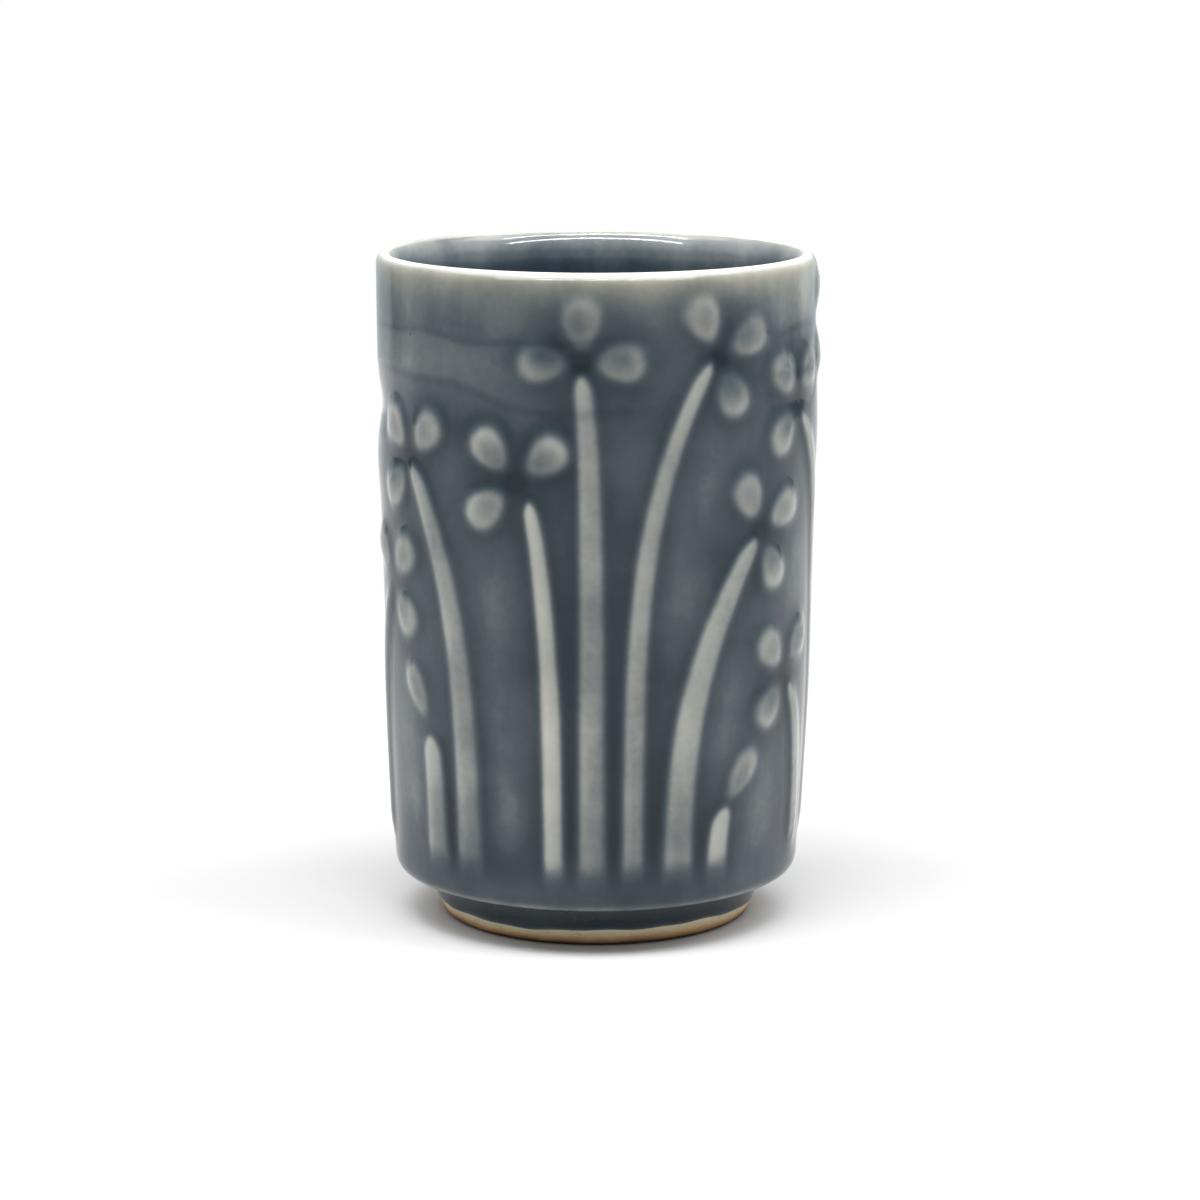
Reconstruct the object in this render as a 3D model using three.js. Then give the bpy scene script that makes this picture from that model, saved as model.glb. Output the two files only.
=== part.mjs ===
// Whiskey cup: a tall porcelain tumbler on a low foot ring, with raised flowers laid on its wall.
// Millimetres, +Z up. The origin is the centre of the plane that the foot rests on, and the cup's
// front faces -Y. Angles round the wall are in degrees from the front, growing towards +X.
import * as THREE from "three";

// Cup body, all radii outside unless they say otherwise
const cupHeight = 95;
const rimRadius = 30.9;
const heelRadius = 29.4; // where the wall turns in towards the foot
const heelRise = 4.8; // height of the rounded heel
const wallBelly = 0.2; // swell of the wall past a straight cone
const wallThickness = 3.4; // at the heel
const lipThickness = 3;
const lipCrest = 1.3; // from the outside to the crest of the lip
const lipRise = 1.5; // height of the rounded lip outside
const lipEase = 5; // depth over which the lip eases into the inner wall
const floorThickness = 4.6;
const innerCornerRadius = 9;

// Foot ring, luted under the body
const footHeight = 6.3;
const footTopRadius = 24.5;
const footBottomRadius = 22.1;
const footRestWidth = 3.4; // width of the flat ring that the cup stands on
const footRingWidth = 6.5; // width of the ring where it meets the body
const footEdgeRadius = 0.8;

// Relief: beads of slip for the stems, pressed dabs for the petals
const slipJoint = 0.15; // gap between the wall and what is laid on it
const stemHeight = 0.6;
const stemFootWidth = 3.6;
const stemTipWidth = 1.7;
const stemFade = 6; // length over which a stem sinks away into the heel
const stemFootShare = 0.25; // share of its height that a stem keeps at its foot
const stemTipRound = 1.6; // length of a stem's rounded tip
const stemTipShare = 0.3; // share of its width and height that a stem keeps at its very tip
const stemCurl = 3.4; // power of the curve by which a stem sways sideways as it rises
const petalHeight = 0.8;
const petalLength = 7.7;
const petalWidth = 5.9;
const budLength = 9; // of a bud's petal, which is still folded
const budWidth = 4.6;
const petalDish = 0.3; // share of a petal's height that its thumbed middle sinks by
const petalFlare = 0.26; // share by which a petal widens towards its outer end
const petalGap = 1.9; // from a blossom's eye to the near end of a petal
const stemGap = 2.2; // from a blossom's eye to the tip of its stem

// Facets
const lathePanels = 64;
const curveSteps = 4;
const petalPanels = 14;
const petalCurveSteps = 2;
const stemSteps = 14;
const stemStepCrowding = 0.75; // 0 spaces a stem's steps evenly, 1 crowds them at both ends
const stemCurveSteps = 2;

// A blossom is a cross: its stem is one arm, and three petals are the others. foot and head are the
// angles of the stem's foot and of the blossom's eye, rise is the eye's height as a share of the
// decorated band, and turn rolls the blossom to the left, in degrees. A bud is one petal, a gap past its
// stem.
const flowers = [
  { foot: -0.4, head: -2.4, rise: 0.857, turn: 0 },
  { foot: 10.2, head: 32.3, rise: 0.86, turn: -66 },
  { foot: 23.9, head: 47.7, rise: 0.565, turn: -64 },
  { foot: -11.4, head: -20.7, rise: 0.66, turn: 40 },
  { foot: -36.6, head: -56, rise: 0.68, turn: 46 },
  { foot: 90, head: 63.8, rise: 0.77, turn: 45 },
  { foot: 76, head: 61, rise: 0.315, turn: 45 },
  { foot: -84, head: -68, rise: 0.465, turn: -45 },
  { foot: 108, head: 97, rise: 0.883, turn: 40 },
  { foot: 140, head: 131, rise: 0.59, turn: 38 },
  { foot: 168, head: 166, rise: 0.84, turn: 4 },
  { foot: 194, head: 205, rise: 0.62, turn: -40 },
  { foot: 226, head: 242, rise: 0.82, turn: -52 },
];
const buds = [
  { foot: -48.6, head: -50, rise: 0.22, turn: 25, gap: 2.3 },
  { foot: 35, head: 37.5, rise: 0.112, turn: -33, gap: 0.6 },
  { foot: 250, head: 251, rise: 0.17, turn: -28, gap: 1.9 },
];

// Places that follow from the sizes above
const heelTop = footHeight + heelRise;
const lipBase = cupHeight - lipRise;
const floorTop = footHeight + floorThickness;
const innerHeelRadius = heelRadius - wallThickness;

const glaze = new THREE.MeshStandardMaterial({ color: 0x5c666d, roughness: 0.12, metalness: 0 });
const thinGlaze = new THREE.MeshStandardMaterial({ color: 0x8f928d, roughness: 0.15, metalness: 0 });
const bareClay = new THREE.MeshStandardMaterial({ color: 0xc8b594, roughness: 0.75, metalness: 0 });

// Outside radius of the plain wall at a height: a quadratic curve from the heel to the lip.
function wallRadius(height) {
  const share = (height - heelTop) / (lipBase - heelTop);
  const cone = heelRadius + (rimRadius - heelRadius) * share;
  return cone + 4 * wallBelly * share * (1 - share);
}

// Turns a profile of radius and height about the cup's axis.
function revolve(profile, steps) {
  const geometry = new THREE.LatheGeometry(profile.getPoints(steps), lathePanels);
  return geometry.rotateX(Math.PI / 2);
}

// Wall, heel, lip and floor, thrown in one piece.
function cupBody() {
  const profile = new THREE.Path();
  profile.moveTo(0, footHeight);
  profile.lineTo(footTopRadius, footHeight);
  const heelDepth = heelRadius - footTopRadius;
  profile.absellipse(footTopRadius, heelTop, heelDepth, heelRise, -Math.PI / 2, 0, false, 0);
  const middle = (heelTop + lipBase) / 2;
  profile.quadraticCurveTo((heelRadius + rimRadius) / 2 + 2 * wallBelly, middle, rimRadius, lipBase);
  const lipRadius = rimRadius - lipCrest;
  const lipInside = lipThickness - lipCrest;
  profile.absellipse(lipRadius, lipBase, lipCrest, lipRise, 0, Math.PI / 2, false, 0);
  profile.absellipse(lipRadius, cupHeight - lipEase, lipInside, lipEase, Math.PI / 2, Math.PI, false, 0);
  const cornerTop = floorTop + innerCornerRadius;
  profile.lineTo(innerHeelRadius, cornerTop);
  const cornerCentre = innerHeelRadius - innerCornerRadius;
  profile.absarc(cornerCentre, cornerTop, innerCornerRadius, 0, -Math.PI / 2, true);
  profile.lineTo(0, floorTop);
  return revolve(profile, curveSteps);
}

// A ring with a flat rest, a rounded outer edge and sides that draw in towards the rest.
function footRing() {
  const restOuter = footBottomRadius - footEdgeRadius;
  const restInner = restOuter - footRestWidth;
  const profile = new THREE.Path();
  profile.moveTo(restInner, 0);
  profile.lineTo(restOuter, 0);
  profile.absarc(restOuter, footEdgeRadius, footEdgeRadius, -Math.PI / 2, 0, false);
  profile.lineTo(footTopRadius, footHeight);
  profile.lineTo(footTopRadius - footRingWidth, footHeight);
  profile.lineTo(restInner, 0);
  return revolve(profile, petalCurveSteps);
}

// Bends a flat drawing round the wall: x runs along the wall, y is height and z stands out from it.
function layOnWall(geometry) {
  const position = geometry.attributes.position;
  for (let i = 0; i < position.count; i++) {
    const height = position.getY(i);
    const radius = wallRadius(height);
    const angle = position.getX(i) / radius;
    const reach = radius + slipJoint + position.getZ(i);
    position.setXYZ(i, reach * Math.sin(angle), -reach * Math.cos(angle), height);
  }
  return geometry;
}

// Share of its full width and height that a stem has at a distance from its tip.
function tipShare(fromTip) {
  const into = Math.min(1, fromTip / stemTipRound);
  return THREE.MathUtils.lerp(stemTipShare, 1, Math.sqrt(1 - (1 - into) ** 2));
}

// Share of its full height that a stem has at a distance above its foot.
function footShare(fromFoot) {
  return THREE.MathUtils.lerp(stemFootShare, 1, Math.min(1, fromFoot / stemFade));
}

// A half-round bead that rises from the heel at x = 0, sways by a power curve and ends at the tip.
function stem(tip) {
  const section = new THREE.Shape();
  section.moveTo(-1, 0);
  section.lineTo(1, 0);
  section.bezierCurveTo(1, 0.7, 0.6, 1, 0, 1);
  section.bezierCurveTo(-0.6, 1, -1, 0.7, -1, 0);
  const bead = new THREE.ExtrudeGeometry(section, {
    depth: 1,
    steps: stemSteps,
    curveSegments: stemCurveSteps,
    bevelEnabled: false,
  });
  const rise = tip.y - heelTop;
  const position = bead.attributes.position;
  for (let i = 0; i < position.count; i++) {
    const turn = 2 * Math.PI * position.getZ(i);
    const down = (turn - stemStepCrowding * Math.sin(turn)) / (2 * Math.PI);
    const up = 1 - down;
    const slope = (stemCurl * tip.x * up ** (stemCurl - 1)) / rise;
    const across = new THREE.Vector2(1, -slope).normalize();
    const fullWidth = THREE.MathUtils.lerp(stemTipWidth, stemFootWidth, Math.sqrt(down));
    const side = (position.getX(i) * fullWidth * tipShare(down * rise)) / 2;
    const centre = new THREE.Vector2(tip.x * up ** stemCurl, heelTop + up * rise);
    const edge = centre.addScaledVector(across, side);
    const out = position.getY(i) * stemHeight * footShare(up * rise) * tipShare(down * rise);
    position.setXYZ(i, edge.x, edge.y, out);
  }
  return layOnWall(bead);
}

// A dished oval dab that starts at a gap from the eye and points away from it at the given angle.
function petal(eye, angle, gap, length, middleWidth) {
  const profile = new THREE.Path();
  profile.moveTo(0, 0);
  profile.lineTo(1, 0);
  profile.bezierCurveTo(1, 0.8, 0.85, 1, 0.6, 1);
  profile.quadraticCurveTo(0.3, 1, 0, 1 - petalDish);
  const dab = new THREE.LatheGeometry(profile.getPoints(petalCurveSteps), petalPanels);
  dab.rotateX(Math.PI / 2);
  const position = dab.attributes.position;
  for (let i = 0; i < position.count; i++) {
    const outward = position.getX(i);
    const width = middleWidth * (1 + petalFlare * outward);
    const x = gap + ((1 + outward) * length) / 2;
    position.setXYZ(i, x, (position.getY(i) * width) / 2, position.getZ(i) * petalHeight);
  }
  dab.rotateZ(angle);
  dab.translate(eye.x, eye.y, 0);
  return layOnWall(dab);
}

// The eye of a plant's blossom in its own flat drawing, whose x = 0 is the stem's foot.
function eyeOf(plant) {
  const height = heelTop + plant.rise * (cupHeight - heelTop);
  const angle = THREE.MathUtils.degToRad(plant.head - plant.foot);
  return new THREE.Vector2(angle * wallRadius(height), height);
}

function named(name, geometry, material) {
  const mesh = new THREE.Mesh(geometry, material);
  mesh.name = name;
  return mesh;
}

function plantGroup(plant) {
  const group = new THREE.Group();
  group.rotation.z = THREE.MathUtils.degToRad(plant.foot);
  return group;
}

function flower(plant, name) {
  const group = plantGroup(plant);
  const eye = eyeOf(plant);
  const down = THREE.MathUtils.degToRad(plant.turn - 90);
  const tip = new THREE.Vector2(stemGap, 0).rotateAround(new THREE.Vector2(), down).add(eye);
  group.add(named(`${name}_stem`, stem(tip), thinGlaze));
  ["right", "top", "left"].forEach((side, i) => {
    const angle = down + ((i + 1) * Math.PI) / 2;
    const dab = petal(eye, angle, petalGap, petalLength, petalWidth);
    group.add(named(`${name}_${side}_petal`, dab, thinGlaze));
  });
  return group;
}

function bud(plant, name) {
  const group = plantGroup(plant);
  const tip = eyeOf(plant);
  const angle = THREE.MathUtils.degToRad(plant.turn + 90);
  group.add(named(`${name}_stem`, stem(tip), thinGlaze));
  group.add(named(`${name}_petal`, petal(tip, angle, plant.gap, budLength, budWidth), thinGlaze));
  return group;
}

const cup = new THREE.Group();
cup.add(named("cup_body", cupBody(), glaze));
cup.add(named("foot_ring", footRing(), bareClay));
flowers.forEach((plant, i) => cup.add(flower(plant, `flower_${i + 1}`)));
buds.forEach((plant, i) => cup.add(bud(plant, `bud_${i + 1}`)));

export default cup;
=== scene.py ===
"""A porcelain whiskey cup with raised flowers under a translucent blue-grey glaze.

The body and the foot ring are turned on fine profiles. Each stem and petal is laid on the wall as a
blister with soft edges, because glaze rounds off what lies under it. The same unrolled sheet that
shapes the blisters says how deep the glaze lies: thin and pale over raised clay, pooled and dark
beside it.
"""

import logging
import math
from abc import ABC, abstractmethod
from dataclasses import dataclass, field
from enum import Enum

import bpy
import numpy as np
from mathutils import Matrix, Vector


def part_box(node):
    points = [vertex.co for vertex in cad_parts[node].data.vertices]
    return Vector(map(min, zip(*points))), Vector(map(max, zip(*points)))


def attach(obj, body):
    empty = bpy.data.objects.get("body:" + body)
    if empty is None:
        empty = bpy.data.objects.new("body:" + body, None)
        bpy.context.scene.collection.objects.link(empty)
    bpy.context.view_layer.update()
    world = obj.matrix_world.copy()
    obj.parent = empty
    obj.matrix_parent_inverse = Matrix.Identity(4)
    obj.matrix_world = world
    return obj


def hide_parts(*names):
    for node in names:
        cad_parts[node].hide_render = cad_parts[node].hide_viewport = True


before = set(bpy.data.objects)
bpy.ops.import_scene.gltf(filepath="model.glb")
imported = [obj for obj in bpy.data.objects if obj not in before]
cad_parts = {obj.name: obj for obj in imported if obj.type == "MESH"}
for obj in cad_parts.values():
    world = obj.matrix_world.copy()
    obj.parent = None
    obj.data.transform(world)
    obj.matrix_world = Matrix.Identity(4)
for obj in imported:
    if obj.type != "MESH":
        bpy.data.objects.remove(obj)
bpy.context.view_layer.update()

MM = 0.001
ROOT = "root"
GLAZE_ATTRIBUTE = "glaze_depth"
LIP_ATTRIBUTE = "lip_tint"
LINE_ATTRIBUTE = "above_glaze_line"
SMOOTH_ANGLE = math.radians(50)
MERGE_DISTANCE = 0.002 * MM

Array = np.ndarray
Colour = tuple[float, float, float]
Point = tuple[float, float]
Wave = tuple[float, float, float]
Spot = tuple[float, float, float, float, float]
Socket = bpy.types.NodeSocket

log = logging.getLogger("whiskey_cup")


class Slot(Enum):
    """The record's material slots."""

    GLAZE = "glaze"
    RELIEF = "relief_glaze"
    CLAY = "bare_clay"


class Habit(Enum):
    """How a plant ends: in a blossom of three petals, or in a single petal."""

    FLOWER = "flower"
    BUD = "bud"


def smooth_step(low: float, high: float, value: Array) -> Array:
    """Eases from 0 at low to 1 at high.

    Args:
        low: Where the rise starts.
        high: Where the rise ends.
        value: The values to ease.

    Returns:
        The eased shares, from 0 to 1.
    """
    share = np.clip((value - low) / (high - low), 0.0, 1.0)
    return share * share * (3.0 - 2.0 * share)


def linear(red: int, green: int, blue: int) -> Colour:
    """Turns a screen colour of 0 to 255 into the linear values that a shader takes.

    Args:
        red: Red on screen.
        green: Green on screen.
        blue: Blue on screen.

    Returns:
        The linear colour.
    """
    shares = [value / 255.0 for value in (red, green, blue)]
    return tuple(s / 12.92 if s <= 0.04045 else ((s + 0.055) / 1.055) ** 2.4 for s in shares)


def waves(angle: Array, *parts: Wave) -> Array:
    """Adds up waves that run round the cup.

    Args:
        angle: Angles from the front.
        *parts: Height, count round the cup and start of each wave.

    Returns:
        The height of them all at each angle.
    """
    return sum(gain * np.sin(count * angle + start) for gain, count, start in parts)


def hump(offset: Array, reach: float) -> Array:
    """Gives a bell of height 1 over an offset, with the given reach."""
    return np.exp(-((offset / reach) ** 2))


@dataclass(frozen=True)
class CupSizes:
    """Sizes of the body, in metres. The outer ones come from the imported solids."""

    height: float
    foot_height: float
    rim_radius: float
    foot_top_radius: float
    heel_radius: float = 28.95 * MM
    heel_rise: float = 4.8 * MM
    heel_fullness: float = 4.4
    belly: float = 0.42 * MM
    wall_thickness: float = 3.4 * MM
    lip_thickness: float = 3.0 * MM
    lip_crest: float = 1.3 * MM
    lip_rise: float = 1.5 * MM
    lip_ease: float = 5.0 * MM
    floor_thickness: float = 4.6 * MM
    corner_radius: float = 9.0 * MM
    flat_steps: int = 7
    heel_steps: int = 19
    wall_steps: int = 171
    lip_steps: int = 10
    ease_steps: int = 22
    inner_steps: int = 26
    corner_steps: int = 13

    @classmethod
    def from_frame(cls) -> "CupSizes":
        """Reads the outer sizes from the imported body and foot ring.

        Returns:
            The sizes.
        """
        body_low, body_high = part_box("cup_body")
        _, ring_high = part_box("foot_ring")
        return cls(
            height=body_high.z,
            foot_height=body_low.z,
            rim_radius=body_high.x,
            foot_top_radius=ring_high.x,
        )

    @property
    def heel_depth(self) -> float:
        """How far the heel stands out past the foot ring."""
        return self.heel_radius - self.foot_top_radius

    @property
    def heel_top(self) -> float:
        """Height where the heel has turned upright."""
        return self.foot_height + self.heel_rise

    @property
    def lip_base(self) -> float:
        """Height where the rounded lip starts."""
        return self.height - self.lip_rise

    @property
    def lip_radius(self) -> float:
        """Radius of the lip's crest."""
        return self.rim_radius - self.lip_crest

    @property
    def floor_top(self) -> float:
        """Height of the floor that the drink stands on."""
        return self.foot_height + self.floor_thickness

    def outside(self, height: Array) -> Array:
        """Gives the outside radius of the plain body.

        Args:
            height: Heights above the table.

        Returns:
            The radius at each height, through the heel, the wall and the lip.
        """
        share = (height - self.heel_top) / (self.lip_base - self.heel_top)
        cone = self.heel_radius + (self.rim_radius - self.heel_radius) * share
        wall = cone + 4 * self.belly * share * (1 - share)
        under = np.clip((self.heel_top - height) / self.heel_rise, 0.0, 1.0)
        full = self.heel_fullness
        heel = self.foot_top_radius + self.heel_depth * (1 - under**full) ** (1 / full)
        over = np.clip((height - self.lip_base) / self.lip_rise, 0.0, 1.0)
        lip = self.lip_radius + self.lip_crest * np.sqrt(1 - over**2)
        return np.where(height < self.heel_top, heel, np.where(height > self.lip_base, lip, wall))

    def lay(self, flat: Array, foot: float) -> Array:
        """Bends a flat drawing round the wall.

        Args:
            flat: Points whose x runs along the wall, y is height and z stands out from the wall.
            foot: Angle of the drawing's x = 0, in radians from the front.

        Returns:
            The points in the cup's frame.
        """
        radius = self.outside(flat[:, 1])
        angle = foot + flat[:, 0] / radius
        reach = radius + flat[:, 2]
        return np.column_stack((reach * np.sin(angle), -reach * np.cos(angle), flat[:, 1]))

    def profile(self) -> list[Point]:
        """Draws half of the body's section, from the axis under the floor to the axis above it.

        Returns:
            Radius and height of each point.
        """
        under_floor = np.linspace(0.0, self.foot_top_radius, self.flat_steps)
        points: list[Point] = [(radius, self.foot_height) for radius in under_floor]
        for turn in np.linspace(0.0, math.pi / 2, self.heel_steps)[1:]:
            depth = self.heel_depth * math.sin(turn) ** (2 / self.heel_fullness)
            drop = self.heel_rise * math.cos(turn) ** (2 / self.heel_fullness)
            points.append((self.foot_top_radius + depth, self.heel_top - drop))
        heights = np.linspace(self.heel_top, self.lip_base, self.wall_steps)[1:]
        points += list(zip(self.outside(heights), heights))
        for turn in np.linspace(0.0, math.pi / 2, self.lip_steps)[1:]:
            out = self.lip_crest * math.cos(turn)
            points.append((self.lip_radius + out, self.lip_base + self.lip_rise * math.sin(turn)))
        for turn in np.linspace(math.pi / 2, math.pi, self.ease_steps)[1:]:
            drop = self.lip_ease * (1 - math.sin(turn))
            inward = (self.lip_thickness - self.lip_crest) * math.cos(turn)
            points.append((self.lip_radius + inward, self.height - drop))
        corner_top = self.floor_top + self.corner_radius
        inner_radius = self.heel_radius - self.wall_thickness
        start_radius, start_height = points[-1]
        for share in np.linspace(0.0, 1.0, self.inner_steps)[1:]:
            radius = start_radius + (inner_radius - start_radius) * share
            points.append((radius, start_height + (corner_top - start_height) * share))
        centre = inner_radius - self.corner_radius
        for turn in np.linspace(0.0, math.pi / 2, self.corner_steps)[1:]:
            height = corner_top - self.corner_radius * math.sin(turn)
            points.append((centre + self.corner_radius * math.cos(turn), height))
        floor = np.linspace(centre, 0.0, self.flat_steps)[1:]
        return points + [(radius, self.floor_top) for radius in floor]


@dataclass(frozen=True)
class Relief(ABC):
    """One piece of clay laid on the wall.

    Its node, its stem's foot as an angle from the front, and how far the glaze thins out over it.
    """

    node: str
    foot: float
    bareness: float = 1.0

    @abstractmethod
    def clay(self, x: Array, height: Array) -> Array:
        """Gives how far the bare clay stands out.

        Args:
            x: Places along the wall from the stem's foot.
            height: Heights above the table.

        Returns:
            The clay's height over the wall, zero beyond the piece.
        """

    @abstractmethod
    def cover(self, x: Array, height: Array) -> Array:
        """Gives how far the piece lifts its clay through the glaze.

        Args:
            x: Places along the wall from the stem's foot.
            height: Heights above the table.

        Returns:
            Shares from 0, plain wall, to 1, where the glaze is thinnest.
        """

    @abstractmethod
    def spread(self, blank: Array) -> Array:
        """Spreads a unit blank over the piece and the soft skirt round it.

        Args:
            blank: Points of the blank, with x and y from -1 to 1.

        Returns:
            The places along the wall and the heights of the points.
        """


@dataclass(frozen=True)
class Petal(Relief):
    """A dab of clay pressed to a dished oval that rises away from the blossom's eye."""

    eye: Point = (0.0, 0.0)
    direction: float = 0.0
    length: float = 7.7 * MM
    width: float = 5.9 * MM
    flare: float = 0.26
    gap: float = 1.9 * MM
    height: float = 0.76 * MM
    dish: float = 0.12
    sunk_end: float = 0.4
    edge: float = 0.62
    outer_edge: float = 1.06
    rise_band: Point = (-1.0, 0.7)
    plain_show: float = 0.62
    end_show: float = 0.16
    end_band: Point = (-0.9, 0.7)
    rim_show: float = 0.12
    rim_band: Point = (0.2, 0.85)
    show_edge: Point = (0.62, 1.18)
    shade: float = 0.16
    skirt: float = 2.3 * MM

    @property
    def middle(self) -> Point:
        """Middle of the petal in its plant's flat drawing.

        Returns:
            Its place along the wall and its height.
        """
        reach = self.gap + self.length / 2
        aside, up = math.cos(self.direction), math.sin(self.direction)
        return (self.eye[0] + reach * aside, self.eye[1] + reach * up)

    def oval(self, x: Array, height: Array) -> tuple[Array, Array]:
        """Measures places against the oval.

        Args:
            x: Places along the wall from the stem's foot.
            height: Heights above the table.

        Returns:
            The way out from the eye, from -1 to 1, and the share of the way from the middle to
            the edge.
        """
        cos, sin = math.cos(self.direction), math.sin(self.direction)
        dx, dy = x - self.middle[0], height - self.middle[1]
        out = (dx * cos + dy * sin) / (self.length / 2)
        across = (dy * cos - dx * sin) / (self.width / 2)
        return out, np.sqrt(out**2 + (across / (1 + self.flare * np.clip(out, -1, 1))) ** 2)

    def clay(self, x: Array, height: Array) -> Array:
        """Gives the dished oval's height.

        Args:
            x: Places along the wall from the stem's foot.
            height: Heights above the table.

        Returns:
            The clay's height over the wall.
        """
        out, ring = self.oval(x, height)
        rise = self.sunk_end + (1 - self.sunk_end) * smooth_step(*self.rise_band, out)
        hollow = 1 - self.dish * np.clip(1 - (ring / self.edge) ** 2, 0.0, 1.0)
        return self.height * rise * hollow * (1 - smooth_step(self.edge, self.outer_edge, ring))

    def cover(self, x: Array, height: Array) -> Array:
        """Shows the clay most along the outer and lower rim.

        Args:
            x: Places along the wall from the stem's foot.
            height: Heights above the table.

        Returns:
            How far the clay shows, from 0 to 1.
        """
        out, ring = self.oval(x, height)
        low = np.clip((self.middle[1] - height) / (self.length / 2), -1, 1)
        shown = self.plain_show + self.end_show * smooth_step(*self.end_band, out)
        shown = shown + self.shade * low + self.rim_show * smooth_step(*self.rim_band, ring)
        return self.bareness * np.clip(shown, 0.0, 1.0) * (1 - smooth_step(*self.show_edge, ring))

    def spread(self, blank: Array) -> Array:
        """Spreads the blank over the oval.

        Args:
            blank: Points of the blank, with x and y from -1 to 1.

        Returns:
            The places along the wall and the heights of the points.
        """
        out = blank[:, 0] * (self.length / 2 + self.skirt)
        across = blank[:, 1] * (self.width / 2 + self.skirt) * (1 + 0.5 * self.flare * blank[:, 0])
        cos, sin = math.cos(self.direction), math.sin(self.direction)
        x = self.middle[0] + out * cos - across * sin
        return np.column_stack((x, self.middle[1] + out * sin + across * cos))


@dataclass(frozen=True)
class Stem(Relief):
    """A bead of slip that rises from the heel, sways sideways by a power curve and ends at its tip."""

    base: float = 0.0
    tip: Point = (0.0, 0.0)
    foot_width: float = 3.6 * MM
    tip_width: float = 1.3 * MM
    taper: float = 0.22
    curl: float = 3.4
    height: float = 0.55 * MM
    fade: float = 5.0 * MM
    tip_round: float = 2.6 * MM
    edge: float = 0.62
    outer_edge: float = 1.15
    fade_lead: float = 0.3
    plain_show: float = 0.94
    left_show: float = 0.1
    show_edge: Point = (0.76, 1.26)
    heel_band: Point = (-2.4 * MM, 3.2 * MM)
    skirt: float = 2.3 * MM

    def centre(self, share: Array) -> Array:
        """Gives the sideways place of the stem's middle at a share of its rise."""
        return self.tip[0] * np.clip(share, 0.0, None) ** self.curl

    def slope(self, share: Array) -> Array:
        """Gives the sideways travel per rise at a share of the rise."""
        rise = self.tip[1] - self.base
        return self.curl * self.tip[0] * np.clip(share, 0.0, None) ** (self.curl - 1) / rise

    def half_width(self, share: Array) -> Array:
        """Gives half of the stem's width at a share of its rise."""
        grown = np.clip(1 - share, 0.0, 1.0) ** self.taper
        return (self.tip_width + (self.foot_width - self.tip_width) * grown) / 2

    def aside(self, x: Array, height: Array) -> Array:
        """Measures how far places lie beside the stem's middle, in half widths, to the right of it.

        Args:
            x: Places along the wall from the stem's foot.
            height: Heights above the table.

        Returns:
            The shares of the half width there, negative to the left.
        """
        share = (height - self.base) / (self.tip[1] - self.base)
        beside = (x - self.centre(share)) / np.sqrt(1 + self.slope(share) ** 2)
        from_tip = np.clip((self.tip[1] - height) / self.tip_round, 0.0, 1.0)
        width = self.half_width(share) * np.sqrt(1 - (1 - from_tip) ** 2)
        return beside / np.maximum(width, 1e-6)

    def clay(self, x: Array, height: Array) -> Array:
        """Gives the flat-topped bead's height.

        Args:
            x: Places along the wall from the stem's foot.
            height: Heights above the table.

        Returns:
            The clay's height over the wall.
        """
        bead = 1 - smooth_step(self.edge, self.outer_edge, np.abs(self.aside(x, height)))
        shown = smooth_step(0.0, self.fade, height - self.base + self.fade_lead * self.fade)
        return np.where(height < self.tip[1], self.height * bead * shown, 0.0)

    def cover(self, x: Array, height: Array) -> Array:
        """Shows the clay over the whole bead, a little more to the left.

        Args:
            x: Places along the wall from the stem's foot.
            height: Heights above the table.

        Returns:
            How far the clay shows, from 0 to 1.
        """
        aside = self.aside(x, height)
        strip = self.plain_show - self.left_show * np.clip(aside, -1, 1)
        strip = strip * (1 - smooth_step(*self.show_edge, np.abs(aside)))
        shown = smooth_step(*self.heel_band, height - self.base)
        return np.where(height < self.tip[1], self.bareness * strip * shown, 0.0)

    def spread(self, blank: Array) -> Array:
        """Spreads the blank along the bead.

        Args:
            blank: Points of the blank, with x and y from -1 to 1.

        Returns:
            The places along the wall and the heights of the points.
        """
        rise = self.tip[1] - self.base
        up = (blank[:, 1] + 1) / 2
        height = self.base - self.skirt + up * (rise + 2 * self.skirt)
        share = np.clip((height - self.base) / rise, 0.0, 1.2)
        side = blank[:, 0] * (self.half_width(share) + self.skirt)
        lean = np.sqrt(1 + self.slope(share) ** 2)
        x = self.centre(share) + side / lean
        return np.column_stack((x, height - side * self.slope(share) / lean))


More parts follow.
